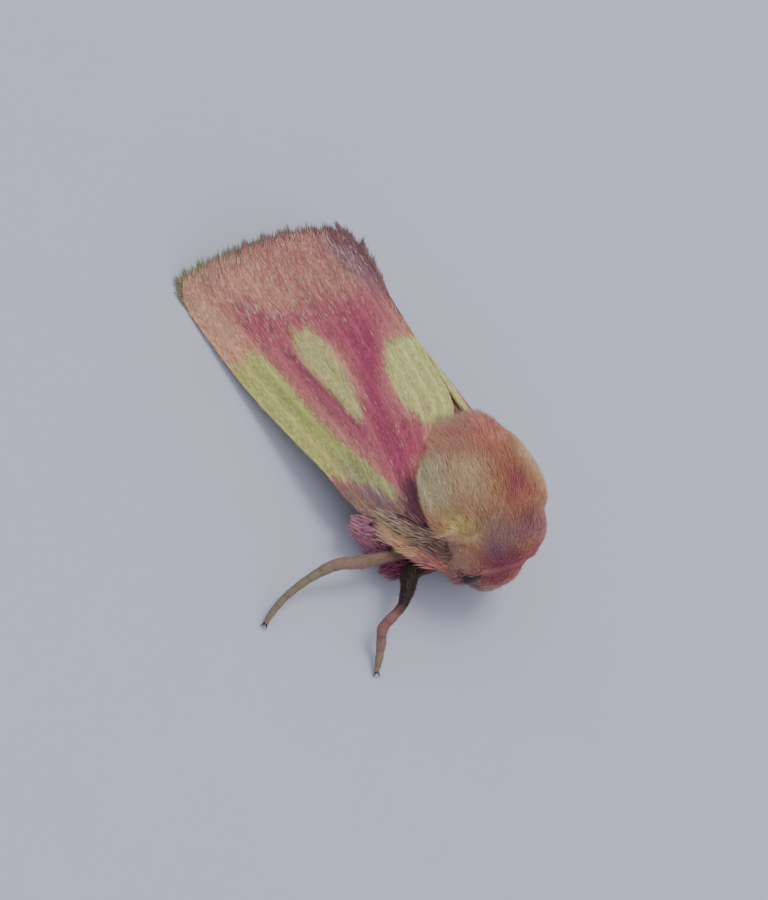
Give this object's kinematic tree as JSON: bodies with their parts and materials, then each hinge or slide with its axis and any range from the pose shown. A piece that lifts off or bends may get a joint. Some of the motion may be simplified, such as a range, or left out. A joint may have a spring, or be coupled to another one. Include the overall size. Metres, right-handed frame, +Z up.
{
  "type": "resting pink and yellow flower moth",
  "caption": "Small stout moth at rest with its wings folded like a roof over a furry body, head tucked down and legs spread on one side.",
  "frame": {"origin": "middle of the bounding box's footprint, on the floor that the legs stand on", "axes": "-Y from tail to head, +X to the moth's left, +Z up"},
  "size_m": [0.0114, 0.0144, 0.0046],
  "materials": {
    "fur": "matte hair-like scales",
    "wing": "matte scales with a faint silky sheen",
    "leg": "satin, scaled",
    "eye": "glossy dark"
  },
  "bodies": {
    "root": {"abdomen": "fur", "antenna_left": "leg", "antenna_right": "leg", "eye_left": "eye", "eye_right": "eye", "forewing_left": "wing", "forewing_right": "wing", "head": "fur", "hindwing_left": "wing", "hindwing_right": "wing", "leg_fore_left": "leg", "leg_fore_right": "leg", "leg_hind_left": "leg", "leg_hind_right": "leg", "leg_mid_left": "leg", "leg_mid_right": "leg", "palp_left": "fur", "palp_right": "fur", "tegula_left": "fur", "tegula_right": "fur", "thorax": "fur"}
  },
  "joints": []
}
